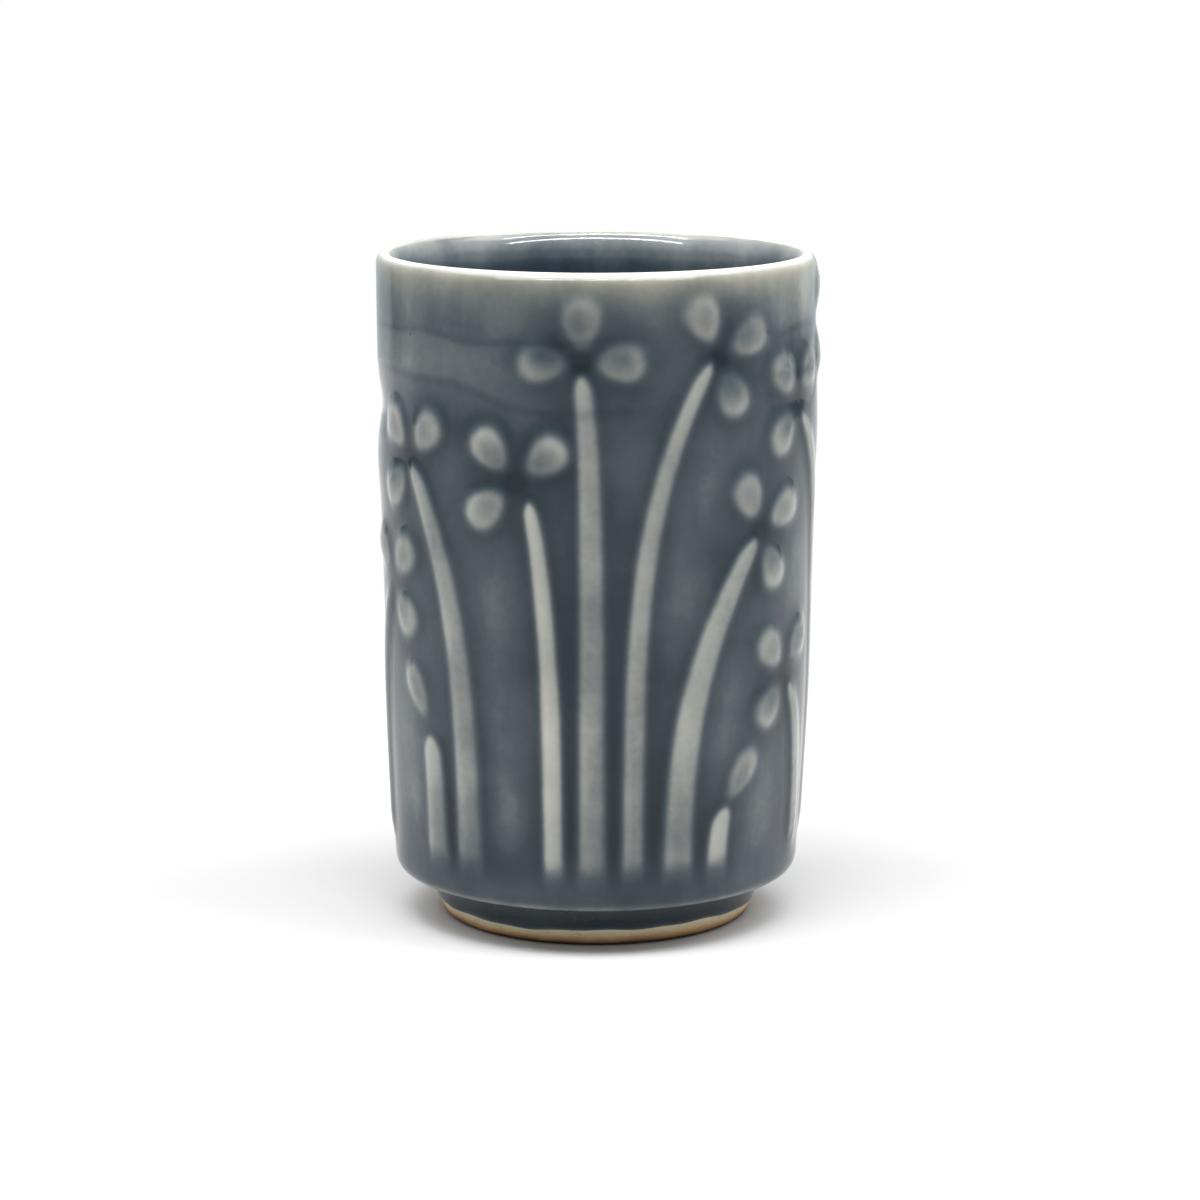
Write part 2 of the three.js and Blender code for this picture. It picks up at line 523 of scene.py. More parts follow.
@dataclass(frozen=True)
class Plant:
    """Where one flower or bud grows, and how it looks.

    Angles are degrees from the front, and the rise is a share of the wall.
    """

    name: str
    habit: Habit
    foot: float
    head: float
    rise: float
    turn: float
    bareness: float = 0.9
    shown: float = 0.92
    shade: float = 0.14
    stem_width: float = 3.6 * MM
    petal_gap: float = 1.9 * MM
    crown: float = 0.76 * MM
    crown_edge: float = 0.62
    stem_gap: float = 2.2 * MM
    bud_length: float = 9.0 * MM
    bud_width: float = 4.6 * MM
    bud_tip_width: float = 2.4 * MM
    curl: float = 3.4

    def eye(self, cup: CupSizes) -> Point:
        """Gives the blossom's eye: its place along the wall from the foot, and its height."""
        height = cup.heel_top + self.rise * (cup.height - cup.heel_top)
        return (math.radians(self.head - self.foot) * float(cup.outside(np.array(height))), height)

    def pieces(self, cup: CupSizes) -> list[Relief]:
        """Lists the plant's stem and petals.

        Args:
            cup: The cup that it grows on.

        Returns:
            The stem first, then the petals.
        """
        eye, foot = self.eye(cup), math.radians(self.foot)
        bead = {"base": cup.heel_top, "foot_width": self.stem_width, "curl": self.curl}
        look = {"eye": eye, "shade": self.shade, "gap": self.petal_gap}
        stem = f"{self.name}_stem"
        if self.habit is Habit.BUD:
            bead |= {"tip": eye, "tip_width": self.bud_tip_width}
            look |= {"length": self.bud_length, "width": self.bud_width}
            up = math.radians(self.turn + 90)
            petal = Petal(f"{self.name}_petal", foot, self.shown, direction=up, **look)
            return [Stem(stem, foot, self.bareness, **bead), petal]
        down = math.radians(self.turn - 90)
        tip = (eye[0] + self.stem_gap * math.cos(down), eye[1] + self.stem_gap * math.sin(down))
        pieces: list[Relief] = [Stem(stem, foot, self.bareness, tip=tip, **bead)]
        for quarter, side in enumerate(("right", "top", "left"), start=1):
            node, way = f"{self.name}_{side}_petal", down + quarter * math.pi / 2
            crown = {"height": self.crown, "edge": self.crown_edge} if side == "top" else {}
            pieces.append(Petal(node, foot, self.shown, direction=way, **look, **crown))
        return pieces


def plants() -> list[Plant]:
    """Lists the plants: foot, head, rise and turn near those of the solids, then the look of each.

    Returns:
        The flowers, then the buds.
    """
    flower, bud = Habit.FLOWER, Habit.BUD
    crown = {"petal_gap": 1.45 * MM, "crown": 1.14 * MM, "crown_edge": 0.76}
    in_view = (
        (-1.0, -3.5, 0.857, 0, 0.84, 0.8, 0.24, 4.0 * MM, 1.4 * MM, 6.0, crown),
        (10.0, 32.3, 0.86, -66, 0.86, 0.84, 0.26, 3.3 * MM, 1.2 * MM, 4.0, {}),
        (22.7, 47.7, 0.565, -64, 0.87, 0.96, 0.1, 4.7 * MM, 1.2 * MM, 2.8, {}),
        (-11.4, -20.7, 0.66, 40, 1.06, 1.04, -0.04, 3.0 * MM, 3.0 * MM, 3.4, {}),
        (-36.6, -56, 0.68, 46, 0.82, 1.0, 0.1, 4.4 * MM, 0.8 * MM, 3.4, {}),
    )
    listed: list[Plant] = []
    for number, entry in enumerate(in_view, start=1):
        *place, bareness, shown, shade, width, gap, curl, more = entry
        look = {"bareness": bareness, "shown": shown, "shade": shade, "curl": curl, **more}
        name = f"flower_{number}"
        listed.append(Plant(name, flower, *place, stem_width=width, stem_gap=gap, **look))
    return listed + [
        Plant("flower_6", flower, 90, 63.8, 0.77, 45),
        Plant("flower_7", flower, 72, 61, 0.315, 45),
        Plant("flower_8", flower, -84, -68, 0.465, -45, bareness=0.55),
        Plant("flower_9", flower, 108, 97, 0.883, 40),
        Plant("flower_10", flower, 140, 131, 0.59, 38),
        Plant("flower_11", flower, 168, 166, 0.84, 4),
        Plant("flower_12", flower, 194, 205, 0.62, -40),
        Plant("flower_13", flower, 226, 242, 0.82, -52),
        Plant("bud_1", bud, -48.6, -50, 0.22, 25, 0.92, 0.9, 0.1, 4.5 * MM, petal_gap=2.3 * MM),
        Plant("bud_2", bud, 35, 37.5, 0.112, -33, 1.05, 0.9, 0.1, 3.6 * MM, petal_gap=0.6 * MM),
        Plant("bud_3", bud, 250, 251, 0.17, -28),
    ]


@dataclass
class GlazeSheet:
    """The wall unrolled: how high clay and glaze stand on it, and how deep the glaze lies.

    A dab or swell has an angle in degrees, a height, width and rise in millimetres, and a gain.
    A bead or heel edge has an offset and a reach, a band or turn has its two ends, and the other
    pairs have a depth and a reach, except pools, which have a reach and a depth.
    """

    cup: CupSizes
    columns: int = 960
    rows: int = 480
    glaze_rounding: float = 0.95 * MM
    veil_softness: float = 0.36 * MM
    plain_depth: float = 0.38
    thinning: float = 0.38
    pools: tuple[Point, ...] = ((1.4 * MM, 0.25), (3.2 * MM, 0.9), (7.0 * MM, 0.3))
    eye_reach: float = 1.6 * MM
    eye_depth: float = 0.45
    head_reach: float = 8.0 * MM
    head_depth: float = 0.16
    dabs: tuple[Spot, ...] = (
        (-24.0, 21.0, 2.6, 6.0, -0.25),
        (-25.0, 12.5, 4.0, 3.0, 0.2),
        (-58.5, 20.5, 2.4, 6.5, -0.24),
        (-45.0, 87.0, 16.0, 6.0, 0.1),
        (32.0, 57.0, 3.0, 5.0, 0.2),
        (49.5, 20.0, 4.0, 6.5, -0.2),
        (63.0, 22.0, 3.6, 11.0, 0.14),
        (33.0, 30.0, 6.0, 16.0, -0.08),
        (-48.0, 42.0, 4.0, 18.0, -0.07),
        (-72.0, 12.0, 5.0, 6.0, 0.3),
        (-74.0, 24.0, 3.4, 12.0, 0.4),
        (14.0, 78.0, 4.0, 6.0, 0.12),
        (7.0, 57.0, 2.2, 8.0, 0.1),
        (26.0, 64.0, 4.0, 6.0, -0.06),
        (-13.7, 84.4, 3.0, 1.4, 0.5),
        (-38.0, 74.0, 8.0, 3.5, 0.14),
        (58.0, 89.0, 10.0, 5.0, -0.1),
        (150.0, 30.0, 5.0, 9.0, -0.1),
        (-130.0, 40.0, 5.0, 9.0, -0.1),
    )
    swells: tuple[Spot, ...] = (
        (86.0, 70.0, 13.0, 11.0, 0.68),
        (86.0, 32.0, 11.0, 14.0, 0.25),
        (-86.0, 74.0, 9.0, 3.2, -0.6),
        (-86.0, 66.0, 9.0, 4.5, 0.27),
    )
    second_dip: float = 3.4
    dip_turn: float = -1.2
    dip_fade: float = 0.5
    upper_dip: float = 85.4 * MM
    upper_waves: tuple[Wave, ...] = ((0.4 * MM, 6, 1.0), (0.2 * MM, 13, 0.0))
    upper_edge: float = 0.4 * MM
    upper_bead: Point = (0.3 * MM, 0.5 * MM)
    lower_dip: float = 78.5 * MM
    lower_waves: tuple[Wave, ...] = ((0.25 * MM, 9, 0.0),)
    lower_edge: float = 0.6 * MM
    lower_bead: Point = (-0.5 * MM, 0.7 * MM)
    lower_step: float = 1.8 * MM
    step_turn: float = -0.54
    step_reach: float = 0.17
    bead_depth: float = 0.1
    band_thinning: float = 0.03
    heel_depth: float = 0.18
    heel_behind: float = 0.1
    heel_turn: Point = (0.4, 1.0)
    heel_band: Point = (10 * MM, 32 * MM)
    heel_veil: float = 0.4
    heel_edge: Point = (0.5 * MM, 0.6 * MM)
    # Paler glaze on the heel's lower edge: partly thin glaze, partly a painted highlight.
    heel_edge_thinning_and_highlight: float = 0.28
    lip_waves: tuple[Wave, ...] = ((0.5, 1, 0.0), (0.1, 4, 1.0))
    lip_fade: Point = (0.2, 3.6 * MM)
    lip_edge: Point = (0.3, 1.1 * MM)
    lip_crest: Point = (0.46, 0.45 * MM)
    # Painted shade on the far lip: extra depth that darkens the far side of the lip, most of it to the
    # left.
    far_band: Point = (0.1, 0.7)
    far_middle: float = 0.65
    far_left: float = 0.35
    far_shade: Point = (0.44, 0.9 * MM)
    straw_middle: float = 0.6
    straw_front: float = 0.4
    straw_turn: float = 0.1
    straw_band: Point = (0.4 * MM, 1.3 * MM)
    straw_reach: float = 1.8 * MM
    clay: Array = field(init=False)
    cover: Array = field(init=False)
    wells: Array = field(init=False)
    swell: Array = field(init=False)
    surface: Array = field(init=False)
    depth: Array = field(init=False)

    def __post_init__(self) -> None:
        """Starts with a bare, plain wall."""
        shape = (self.rows, self.columns)
        self.clay, self.cover, self.wells = np.zeros(shape), np.zeros(shape), np.zeros(shape)

    def grid(self) -> tuple[Array, Array]:
        """Returns the sheet's angles from the front and its heights."""
        angle = -math.pi + 2 * math.pi * np.arange(self.columns) / self.columns
        return angle, self.cup.height * np.arange(self.rows) / (self.rows - 1)

    def press(self, piece: Relief) -> None:
        """Adds a piece's clay to the sheet.

        Args:
            piece: The stem or petal.
        """
        angle, height = self.grid()
        around = (angle - piece.foot + math.pi) % (2 * math.pi) - math.pi
        x = around[None, :] * self.cup.outside(height)[:, None]
        up = height[:, None] + 0 * x
        self.clay = np.maximum(self.clay, piece.clay(x, up))
        self.cover = np.maximum(self.cover, piece.cover(x, up))

    def spot(self, angle: float, height: float, width: float, rise: float) -> Array:
        """Draws a soft spot on the sheet.

        Args:
            angle: The spot's angle from the front.
            height: Its height above the table.
            width: How far it reaches along the wall.
            rise: How far it reaches up and down.

        Returns:
            Shares from 0 to 1 over the sheet.
        """
        angles, heights = self.grid()
        around = (angles - angle + math.pi) % (2 * math.pi) - math.pi
        along = around[None, :] * self.cup.heel_radius / width
        up = (heights[:, None] - height) / rise
        return np.exp(-(along**2) - up**2)

    def spotted(self, spots: tuple[Spot, ...]) -> Array:
        """Adds up soft spots.

        Args:
            spots: Each spot's angle, height, width, rise and gain.

        Returns:
            Their sum over the sheet.
        """
        total = np.zeros((self.rows, self.columns))
        for angle, height, width, rise, gain in spots:
            total += gain * self.spot(math.radians(angle), height * MM, width * MM, rise * MM)
        return total

    def pool_eye(self, plant: Plant) -> None:
        """Lets glaze gather in the eye of a blossom.

        Args:
            plant: The flower.
        """
        along, height = plant.eye(self.cup)
        angle = math.radians(plant.foot) + along / float(self.cup.outside(np.array(height)))
        eye = self.eye_depth * self.spot(angle, height, self.eye_reach, self.eye_reach)
        head = self.head_depth * self.spot(angle, height, self.head_reach, self.head_reach)
        self.wells = np.maximum(self.wells, eye + head)

    def blurred(self, layer: Array, reach: float) -> Array:
        """Rounds a layer off by a bell curve.

        Args:
            layer: The clay or the cover.
            reach: The curve's spread.

        Returns:
            The rounded layer.
        """
        girth = 2 * math.pi * self.cup.rim_radius
        along = np.fft.rfftfreq(self.columns, girth / self.columns)
        up = np.fft.fftfreq(self.rows, self.cup.height / self.rows)
        kept = np.exp(-2 * (math.pi * reach) ** 2 * (along[None, :] ** 2 + up[:, None] ** 2))
        return np.clip(np.fft.irfft2(np.fft.rfft2(layer) * kept, s=layer.shape), 0.0, None)

    def flow(self) -> None:
        """Lets the glaze settle: it rounds the clay, lies thin on crests and pools beside them."""
        self.surface = self.blurred(self.clay, self.glaze_rounding)
        self.swell = MM * self.spotted(self.swells)
        veil = self.blurred(self.cover, self.veil_softness)
        pooled = sum(gain * self.blurred(self.cover, reach) for reach, gain in self.pools)
        pooled += self.wells + self.spotted(self.dabs)
        angle, height = np.meshgrid(*self.grid())
        self.depth = self.plain_depth + pooled * (1 - veil) - self.thinning * veil
        self.depth += self.overlap(angle, height) + self.overlap(angle - self.second_dip, height)
        self.depth += self.heel_pool(angle, height) * (1 - self.heel_veil * veil)
        self.depth -= self.lip_thinning(angle, height)

    def overlap(self, angle: Array, height: Array) -> Array:
        """Adds the wavy band where two dips of glaze overlap below the lip.

        Args:
            angle: Angles from the front.
            height: Heights above the table.

        Returns:
            The extra depth.
        """
        shown = smooth_step(0.0, self.dip_fade, np.cos(angle - self.dip_turn))
        turn = (angle + math.pi) % (2 * math.pi) - math.pi
        step = self.lower_step * np.tanh((turn - self.step_turn) / self.step_reach)
        above = height - self.upper_dip - waves(angle, *self.upper_waves)
        over = height - self.lower_dip + step - waves(angle, *self.lower_waves)
        band = smooth_step(-self.upper_edge, self.upper_edge, -above)
        band = band * smooth_step(-self.lower_edge, self.lower_edge, over)
        (upper_place, upper_reach), (lower_place, lower_reach) = self.upper_bead, self.lower_bead
        bead = hump(above - upper_place, upper_reach) + hump(over - lower_place, lower_reach)
        return shown * (self.bead_depth * bead - self.band_thinning * band)

    def heel_pool(self, angle: Array, height: Array) -> Array:
        """Gives how much glaze has run down to the heel, most of it behind, less on the heel's lower
        edge, where the paler glaze is partly thin glaze and partly a painted highlight.

        Args:
            angle: Angles from the front.
            height: Heights above the table.

        Returns:
            The extra depth.
        """
        behind = smooth_step(*self.heel_turn, 1 - np.cos(angle))
        gathered = self.heel_depth + self.heel_behind * behind
        place, reach = self.heel_edge
        # The heel's lower edge is paled: partly thin glaze, partly a painted highlight.
        edge = self.heel_edge_thinning_and_highlight * hump(height - self.cup.foot_height - place, reach)
        return gathered * (1 - smooth_step(*self.heel_band, height)) - edge

    def lip_thinning(self, angle: Array, height: Array) -> Array:
        """Gives how much thinner the glaze is towards the lip.

        Args:
            angle: Angles from the front.
            height: Heights above the table.

        Returns:
            The depth that is missing.
        """
        below = self.cup.height - height
        drawn = 1 + waves(angle, *self.lip_waves)
        fade, fade_reach = self.lip_fade
        edge, edge_reach = self.lip_edge
        crest, crest_reach = self.lip_crest
        thinned = fade * drawn * np.exp(-below / (fade_reach * drawn))
        thinned += edge * np.exp(-below / edge_reach) + crest * hump(below, crest_reach)
        # The far side of the lip is thinned less, which is painted shade there.
        return thinned - self.far_lip_shade(angle, below)

    def far_lip_shade(self, angle: Array, below: Array) -> Array:
        """Gives painted shade on the far side of the lip, most of it to the left, as extra depth that
        darkens it.

        Args:
            angle: Angles from the front.
            below: Depths below the lip's edge.

        Returns:
            The extra depth.
        """
        aside = self.far_middle - self.far_left * np.sin(angle)
        kept, reach = self.far_shade
        return kept * aside * smooth_step(*self.far_band, -np.cos(angle)) * np.exp(-below / reach)

    def lip_tint(self, angle: Array, height: Array) -> Array:
        """Gives how strongly straw shows in the thin glaze under the lip.

        Args:
            angle: Angles from the front.
            height: Heights above the table.

        Returns:
            Shares from 0 to 1, none at the very edge.
        """
        below = self.cup.height - height
        facing = self.straw_middle + self.straw_front * np.cos(angle - self.straw_turn)
        return facing * smooth_step(*self.straw_band, below) * np.exp(-below / self.straw_reach)

    def sample(self, layer: Array, angle: Array, height: Array) -> Array:
        """Reads a layer of the sheet between its cells.

        Args:
            layer: The clay, surface or depth.
            angle: Angles from the front.
            height: Heights above the table.

        Returns:
            The layer's values there.
        """
        column = (angle + math.pi) / (2 * math.pi) * self.columns
        row = np.clip(height / self.cup.height * (self.rows - 1), 0.0, self.rows - 1.001)
        left, low = np.floor(column).astype(int), np.floor(row).astype(int)
        across, up = column - left, row - low
        left, right = left % self.columns, (left + 1) % self.columns
        bottom = layer[low, left] * (1 - across) + layer[low, right] * across
        top = layer[low + 1, left] * (1 - across) + layer[low + 1, right] * across
        return bottom * (1 - up) + top * up


def clear_selection() -> None:
    """Leaves edit mode and deselects every object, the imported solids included."""
    if bpy.context.object is not None and bpy.context.object.mode != "OBJECT":
        bpy.ops.object.mode_set(mode="OBJECT")
    bpy.ops.object.select_all(action="DESELECT")


def points_of(piece: bpy.types.Object) -> Array:
    """Reads a mesh's points.

    Args:
        piece: The piece.

    Returns:
        A row for each point.
    """
    flat = np.empty(len(piece.data.vertices) * 3)
    piece.data.vertices.foreach_get("co", flat)
    return flat.reshape(-1, 3)


def move_points(piece: bpy.types.Object, points: Array) -> None:
    """Moves a mesh's points.

    Args:
        piece: The piece to shape.
        points: A place for each of its points.
    """
    piece.data.vertices.foreach_set("co", points.ravel())
    piece.data.update()


def store(piece: bpy.types.Object, name: str, values: Array) -> None:
    """Keeps one number per point on a mesh, for its material.

    Args:
        piece: The piece.
        name: The attribute's name.
        values: A value for each point.
    """
    attribute = piece.data.attributes.new(name, "FLOAT", "POINT")
    attribute.data.foreach_set("value", values.astype(np.float32))


def turned(name: str, profile: list[Point], panels: int) -> bpy.types.Object:
    """Turns a profile on the wheel: a point is extruded along it and spun about the axis.

    Args:
        name: Name of the new piece.
        profile: Radius and height of each point.
        panels: Steps of the full turn.

    Returns:
        The closed piece, its faces outwards.
    """
    clear_selection()
    bpy.ops.mesh.primitive_plane_add(size=1 * MM)
    piece = bpy.context.object
    piece.name = piece.data.name = name
    bpy.ops.object.mode_set(mode="EDIT")
    bpy.ops.mesh.select_all(action="SELECT")
    bpy.ops.mesh.merge(type="CENTER")
    bpy.ops.transform.translate(value=(profile[0][0], 0.0, profile[0][1]))
    for (radius, height), (next_radius, next_height) in zip(profile, profile[1:]):
        step = (next_radius - radius, 0.0, next_height - height)
        bpy.ops.mesh.extrude_vertices_move(TRANSFORM_OT_translate={"value": step})
    bpy.ops.mesh.select_all(action="SELECT")
    bpy.ops.mesh.spin(steps=panels, angle=2 * math.pi, center=(0, 0, 0), axis=(0, 0, 1))
    bpy.ops.mesh.select_all(action="SELECT")
    bpy.ops.mesh.remove_doubles(threshold=MERGE_DISTANCE)
    bpy.ops.mesh.normals_make_consistent(inside=False)
    bpy.ops.object.mode_set(mode="OBJECT")
    heights = [height for _, height in profile]
    points = points_of(piece)
    points[:, 2] = np.clip(points[:, 2], min(heights), max(heights))
    move_points(piece, points)
    bpy.ops.object.shade_smooth_by_angle(angle=SMOOTH_ANGLE)
    return piece


def petal_blank() -> bpy.types.Object:
    """Rolls the ball of clay that every petal is pressed from.

    Returns:
        The ball.
    """
    clear_selection()
    bpy.ops.mesh.primitive_uv_sphere_add(segments=56, ring_count=52, radius=1.0)
    blank = bpy.context.object
    blank.name = "petal_blank"
    return blank


def stem_blank() -> bpy.types.Object:
    """Rolls the strip of clay that every stem is laid from.

    Returns:
        The strip.
    """
    clear_selection()
    bpy.ops.mesh.primitive_grid_add(x_subdivisions=24, y_subdivisions=128, size=2.0)
    blank = bpy.context.object
    blank.name = "stem_blank"
    bpy.ops.object.mode_set(mode="EDIT")
    bpy.ops.mesh.select_all(action="SELECT")
    bpy.ops.mesh.extrude_region_move(TRANSFORM_OT_translate={"value": (0.0, 0.0, -1.0)})
    bpy.ops.mesh.select_all(action="SELECT")
    bpy.ops.mesh.normals_make_consistent(inside=False)
    bpy.ops.object.mode_set(mode="OBJECT")
    return blank


class Graph:
    """A shorthand for laying out a node tree."""

    def __init__(self, tree: bpy.types.NodeTree) -> None:
        """Takes the tree and empties it."""
        self.tree = tree
        tree.nodes.clear()

    def add(self, kind: str, inputs: dict | None = None, **settings: object) -> bpy.types.Node:
        """Adds a node.

        Args:
            kind: The node's type name.
            inputs: Socket name or number to a value, or to another node's output to link.
            **settings: Properties of the node.

        Returns:
            The node.
        """
        node = self.tree.nodes.new(kind)
        for name, value in settings.items():
            setattr(node, name, value)
        for socket, value in (inputs or {}).items():
            if isinstance(value, Socket):
                self.tree.links.new(value, node.inputs[socket])
            else:
                node.inputs[socket].default_value = value
        return node

    def math(self, operation: str, *values: object) -> Socket:
        """Adds a math node and returns its result.

        Args:
            operation: The node's operation.
            *values: Numbers or sockets.

        Returns:
            The result's socket.
        """
        return self.add("ShaderNodeMath", dict(enumerate(values)), operation=operation).outputs[0]

    def noise(self, place: Socket, scale: float, detail: float) -> Socket:
        """Adds a noise and returns its value."""
        settings = {"Vector": place, "Scale": scale, "Detail": detail}
        return self.add("ShaderNodeTexNoise", settings).outputs["Fac"]

    def vary(self, base: object, noise: Socket, gain: float) -> Socket:
        """Adds to a base how far a noise lies from its middle, times a gain."""
        return self.math("MULTIPLY_ADD", self.math("SUBTRACT", noise, 0.5), gain, base)

    def rise(self, value: Socket, low: float, high: float) -> Socket:
        """Eases from 0 to 1 between two values.

        Args:
            value: What is eased.
            low: Where the rise starts.
            high: Where the rise ends.

        Returns:
            The eased share's socket.
        """
        limits = {"Value": value, "From Min": low, "From Max": high}
        eased = self.add("ShaderNodeMapRange", limits, interpolation_type="SMOOTHSTEP")
        return eased.outputs["Result"]

    def blend(self, factor: object, first: object, second: object) -> Socket:
        """Blends two numbers.

        Args:
            factor: Share of the second.
            first: A number or socket.
            second: A number or socket.

        Returns:
            The blended number's socket.
        """
        values = {0: factor, 2: first, 3: second}
        return self.add("ShaderNodeMix", values, data_type="FLOAT").outputs[0]

    def ramp(self, factor: Socket, stops: list[tuple[float, Colour]]) -> Socket:
        """Adds a colour ramp and returns its colour.

        Args:
            factor: What drives the ramp.
            stops: Place and linear colour of each stop.

        Returns:
            The colour's socket.
        """
        node = self.add("ShaderNodeValToRGB", {"Fac": factor})
        elements = node.color_ramp.elements
        while len(elements) < len(stops):
            elements.new(1.0)
        for element, (place, colour) in zip(elements, stops):
            element.position = place
            element.color = (*colour, 1.0)
        return node.outputs["Color"]

    def mix(self, factor: object, first: object, second: object, way: str = "MIX") -> Socket:
        """Mixes two colours.

        Args:
            factor: Share of the second.
            first: A colour or socket.
            second: A colour or socket.
            way: The node's way of blending.

        Returns:
            The mixed colour's socket.
        """
        node = self.add("ShaderNodeMix", data_type="RGBA", blend_type=way)
        for index, value in ((0, factor), (6, first), (7, second)):
            if isinstance(value, Socket):
                self.tree.links.new(value, node.inputs[index])
            elif index == 0:
                node.inputs[index].default_value = value
            else:
                node.inputs[index].default_value = (*value, 1.0)
        return node.outputs[2]


@dataclass(frozen=True)
class GlazeFinish:
    """The glaze: its colour by depth, its gloss, and the marks that firing leaves in it."""

    bare: Colour = linear(242, 235, 220)
    thin: Colour = linear(169, 170, 163)
    veil: Colour = linear(149, 151, 146)
    half: Colour = linear(116, 120, 119)
    clear: Colour = linear(90, 98, 101)
    plain: Colour = linear(68, 77, 84)
    deep: Colour = linear(43, 54, 62)
    pool: Colour = linear(18, 30, 38)
    speck: Colour = linear(38, 40, 42)
    straw: Colour = linear(186, 176, 142)
    cool: Colour = (0.95, 1.02, 1.12)
    shallowest: float = -0.6
    deepest: float = 1.4
    straw_share: float = 0.5
    cloud_scale: float = 95.0
    cloud_depth: float = 0.42
    grain_scale: float = 900.0
    grain_depth: float = 0.1
    run_scale: float = 210.0
    run_stretch: float = 0.16
    run_depth: float = 0.22
    pinhole_scale: float = 120.0
    pinhole_reach: float = 0.022
    pinhole_rarity: float = 0.8
    pinhole_share: float = 0.75
    gloss: float = 0.07
    gloss_change: float = 0.05
    ripple_grain: float = 0.12
    ripple_strength: float = 0.35
    ripple_height: float = 0.12 * MM
    refractive_index: float = 1.5
    shine: float = 0.32

    def stops(self) -> list[tuple[float, Colour]]:
        """Lists the colour ramp's stops.

        Returns:
            Each stop's place, as a share of the range of depths, and its colour.
        """
        depths = (
            (-0.6, self.bare),
            (0.0, self.thin),
            (0.15, self.veil),
            (0.3, self.half),
            (0.42, self.clear),
            (0.55, self.plain),
            (0.8, self.deep),
            (1.15, self.pool),
        )
        span = self.deepest - self.shallowest
        return [((depth - self.shallowest) / span, colour) for depth, colour in depths]

    def effect(self) -> bpy.types.NodeTree:
        """Builds the shared effect: the glaze's colour, roughness and ripple at a depth.

        Returns:
            The node group, made once.
        """
        made = bpy.data.node_groups.get("glaze_pooling")
        if made is not None:
            return made
        group = bpy.data.node_groups.new("glaze_pooling", "ShaderNodeTree")
        for name in ("Depth", "Lip"):
            group.interface.new_socket(name, in_out="INPUT", socket_type="NodeSocketFloat")
        for name, kind in (("Colour", "Color"), ("Roughness", "Float"), ("Ripple", "Float")):
            group.interface.new_socket(name, in_out="OUTPUT", socket_type=f"NodeSocket{kind}")
        graph = Graph(group)
        depth, lip = graph.add("NodeGroupInput").outputs[:2]
        place = graph.add("ShaderNodeTexCoord").outputs["Object"]
        cloud = graph.noise(place, self.cloud_scale, 2.0)
        grain = graph.noise(place, self.grain_scale, 3.0)
        stretch = {0: place, 1: (1.0, 1.0, self.run_stretch)}
        drawn_out = graph.add("ShaderNodeVectorMath", stretch, operation="MULTIPLY").outputs["Vector"]
        ran = graph.vary(depth, graph.noise(drawn_out, self.run_scale, 2.0), self.run_depth)
        mottled = graph.vary(graph.vary(ran, cloud, self.cloud_depth), grain, self.grain_depth)
        span = self.deepest - self.shallowest
        share = graph.math("MULTIPLY_ADD", mottled, 1 / span, -self.shallowest / span)
        by_depth = graph.ramp(share, self.stops())
        warmed = graph.mix(graph.math("MULTIPLY", lip, self.straw_share), by_depth, self.straw)
        colour = graph.mix(graph.math("MULTIPLY", lip, -1.0), warmed, self.cool, "MULTIPLY")
        cells = graph.add("ShaderNodeTexVoronoi", {"Vector": place, "Scale": self.pinhole_scale})
        chance = graph.add("ShaderNodeSeparateColor", {"Color": cells.outputs["Color"]}).outputs["Red"]
        near = graph.math("LESS_THAN", cells.outputs["Distance"], self.pinhole_reach)
        is_there = graph.math("GREATER_THAN", chance, self.pinhole_rarity)
        pinhole = graph.math("MULTIPLY", graph.math("MULTIPLY", near, is_there), self.pinhole_share)
        speckled = graph.mix(pinhole, colour, self.speck)
        rough = graph.math("MULTIPLY_ADD", cloud, self.gloss_change, self.gloss)
        ripple = graph.math("MULTIPLY_ADD", grain, self.ripple_grain, cloud)
        graph.add("NodeGroupOutput", {"Colour": speckled, "Roughness": rough, "Ripple": ripple})
        return group

    def material(self) -> bpy.types.Material:
        """Builds the glaze over clay.

        Returns:
            The material, made once.
        """
        made = bpy.data.materials.get("blue_grey_glaze")
        if made is not None:
            return made
        material = bpy.data.materials.new("blue_grey_glaze")
        material.use_nodes = True
        graph = Graph(material.node_tree)
        depth = graph.add("ShaderNodeAttribute", attribute_name=GLAZE_ATTRIBUTE).outputs["Fac"]
        glaze = graph.add("ShaderNodeGroup", node_tree=self.effect())
        graph.tree.links.new(depth, glaze.inputs["Depth"])
        lip = graph.add("ShaderNodeAttribute", attribute_name=LIP_ATTRIBUTE).outputs["Fac"]
        graph.tree.links.new(lip, glaze.inputs["Lip"])
        height = glaze.outputs["Ripple"]
        ripple = {"Strength": self.ripple_strength, "Distance": self.ripple_height, "Height": height}
        bump = graph.add("ShaderNodeBump", ripple)
        shader = graph.add(
            "ShaderNodeBsdfPrincipled",
            {
                "Base Color": glaze.outputs["Colour"],
                "Roughness": glaze.outputs["Roughness"],
                "Normal": bump.outputs["Normal"],
                "IOR": self.refractive_index,
                "Specular IOR Level": self.shine,
            },
        )
        graph.add("ShaderNodeOutputMaterial", {"Surface": shader.outputs["BSDF"]})
        return material


